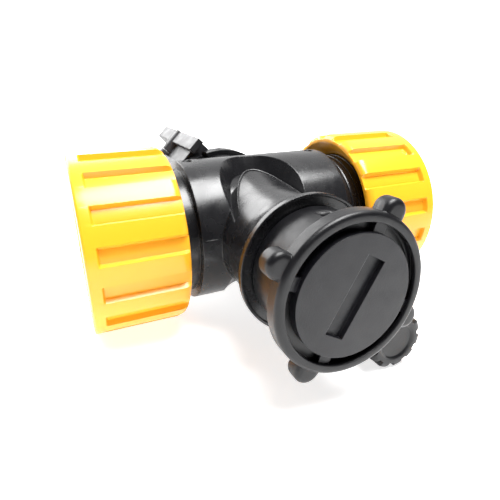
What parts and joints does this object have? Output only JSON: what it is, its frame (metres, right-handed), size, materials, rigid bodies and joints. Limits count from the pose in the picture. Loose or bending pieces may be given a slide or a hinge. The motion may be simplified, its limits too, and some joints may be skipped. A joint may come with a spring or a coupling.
{
  "type": "hose splitter",
  "caption": "Clamp-on irrigation splitter: a hinged pipe clamp feeds two side hose nuts through a capped diaphragm check valve.",
  "frame": {"origin": "centre of the supply pipe's bore in the hinged clamp", "axes": "+Y away from the valve cap along the valve axis, +Z the thinnest direction, X along the two outlets"},
  "size_m": [0.0756, 0.0949, 0.0408],
  "materials": {
    "black_gloss": "glossy injection-moulded black plastic",
    "black_satin": "satin black plastic",
    "cap_satin": "satin charcoal plastic",
    "clamp_plastic": "satin dark grey plastic",
    "orange_plastic": "semi-gloss yellow-orange plastic",
    "seal_rubber": "matte black rubber",
    "diaphragm_rubber": "matte tan rubber",
    "strainer_plastic": "natural plastic",
    "spring_steel": "bright stainless steel"
  },
  "bodies": {
    "tee": {"tee_body": "black_gloss", "rear_collar": "black_satin", "inlet_seal": "seal_rubber", "left_strainer": "strainer_plastic", "right_strainer": "strainer_plastic", "diaphragm": "diaphragm_rubber", "clamp_saddle": "clamp_plastic", "hinge_pin": "spring_steel"},
    "left_seat": {"left_gasket": "seal_rubber"},
    "left_nut": {"left_nut": "orange_plastic"},
    "right_seat": {"right_gasket": "seal_rubber"},
    "right_nut": {"right_nut": "orange_plastic"},
    "bonnet": {"cap_bonnet": "cap_satin", "bonnet_seal": "seal_rubber", "valve_spring": "spring_steel"},
    "cap": {"lobed_cap": "cap_satin"},
    "plunger": {"valve_plunger": "strainer_plastic"},
    "jaw": {"clamp_jaw": "clamp_plastic", "captive_nut": "spring_steel"},
    "screw_seat": {"knob_washer": "spring_steel"},
    "knob": {"tie_screw": "spring_steel", "star_knob": "black_satin"}
  },
  "joints": [
    {"name": "left_nut_advance", "type": "slide", "parent": "tee", "child": "left_seat", "axis": [-1, 0, 0], "range_m": [0, 0.0074]},
    {"name": "left_nut_turn", "type": "hinge", "parent": "left_seat", "child": "left_nut", "pos_m": [-0.0257, -0.032, 0], "axis": [-1, 0, 0], "range_deg": [0, 1440]},
    {"name": "right_nut_advance", "type": "slide", "parent": "tee", "child": "right_seat", "axis": [1, 0, 0], "range_m": [0, 0.0074]},
    {"name": "right_nut_turn", "type": "hinge", "parent": "right_seat", "child": "right_nut", "pos_m": [0.0297, -0.032, 0], "axis": [1, 0, 0], "range_deg": [0, 1440]},
    {"name": "cap_advance", "type": "slide", "parent": "tee", "child": "bonnet", "axis": [0, -1, 0], "range_m": [0, 0.0031]},
    {"name": "cap_turn", "type": "hinge", "parent": "bonnet", "child": "cap", "pos_m": [0, -0.0695, 0], "axis": [0, -1, 0], "range_deg": [0, 720]},
    {"name": "valve_lift", "type": "slide", "parent": "bonnet", "child": "plunger", "axis": [0, -1, 0], "range_m": [0, 0.0016], "stiffness_N_per_m": 400, "springref_m": -0.002, "deforming": ["valve_spring", "diaphragm"]},
    {"name": "jaw_open", "type": "hinge", "parent": "tee", "child": "jaw", "pos_m": [-0.01032, 0, 0.01032], "axis": [0.7071, 0, 0.7071], "range_deg": [0, 75]},
    {"name": "tie_screw_draw", "type": "slide", "parent": "tee", "child": "screw_seat", "axis": [0, -1, 0], "range_m": [0, 0.0162]},
    {"name": "knob_turn", "type": "hinge", "parent": "screw_seat", "child": "knob", "pos_m": [0.01676, -0.032, -0.01676], "axis": [0, -1, 0], "continuous": true}
  ],
  "couplings": [
    {"joint": "left_nut_advance", "follows": "left_nut_turn", "m_per_rad": 0.00028871},
    {"joint": "right_nut_advance", "follows": "right_nut_turn", "m_per_rad": 0.00028871},
    {"joint": "cap_advance", "follows": "cap_turn", "m_per_rad": 0.00023873},
    {"joint": "tie_screw_draw", "follows": "jaw_open", "m_per_rad": 0.012223}
  ]
}
